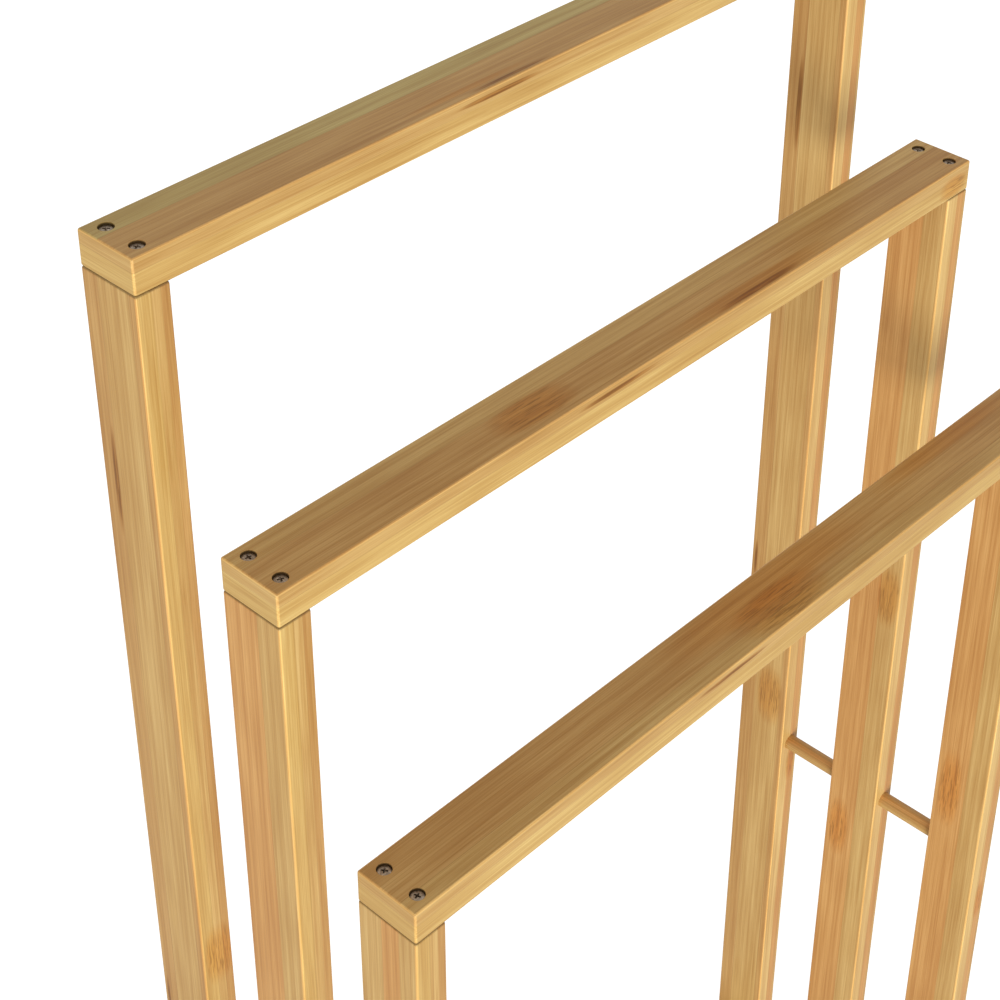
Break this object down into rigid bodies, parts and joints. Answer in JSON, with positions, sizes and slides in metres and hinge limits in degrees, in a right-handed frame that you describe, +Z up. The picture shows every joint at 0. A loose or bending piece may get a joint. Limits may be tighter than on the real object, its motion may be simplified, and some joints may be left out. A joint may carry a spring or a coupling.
{
  "type": "free-standing towel rack",
  "caption": "Free-standing stepped towel rack of flat laminated bamboo bar: upright frames of falling height on two feet, joined by round dowels and low stretchers.",
  "frame": {"origin": "middle of the footprint, on the surface that the rack stands on", "axes": "+Z up, +X to the right along the rails, -Y towards the front, where the lowest rail is"},
  "size_m": [0.418, 0.24, 0.82],
  "materials": {
    "bamboo": "satin clear-lacquered laminated bamboo",
    "dowel": "satin clear-lacquered bamboo rod",
    "screw": "darkened steel, slightly worn",
    "pad": "matte black rubber"
  },
  "bodies": {
    "root": {"back_rail": "bamboo", "middle_rail": "bamboo", "front_rail": "bamboo", "back_left_post": "bamboo", "middle_left_post": "bamboo", "front_left_post": "bamboo", "back_right_post": "bamboo", "middle_right_post": "bamboo", "front_right_post": "bamboo", "left_foot": "bamboo", "right_foot": "bamboo", "rear_stretcher": "bamboo", "front_stretcher": "bamboo", "rear_left_dowel": "dowel", "front_left_dowel": "dowel", "rear_right_dowel": "dowel", "front_right_dowel": "dowel", "rail_screws": "screw", "foot_screws": "screw", "stretcher_screws": "screw", "rear_left_pad": "pad", "front_left_pad": "pad", "rear_right_pad": "pad", "front_right_pad": "pad"}
  },
  "joints": []
}
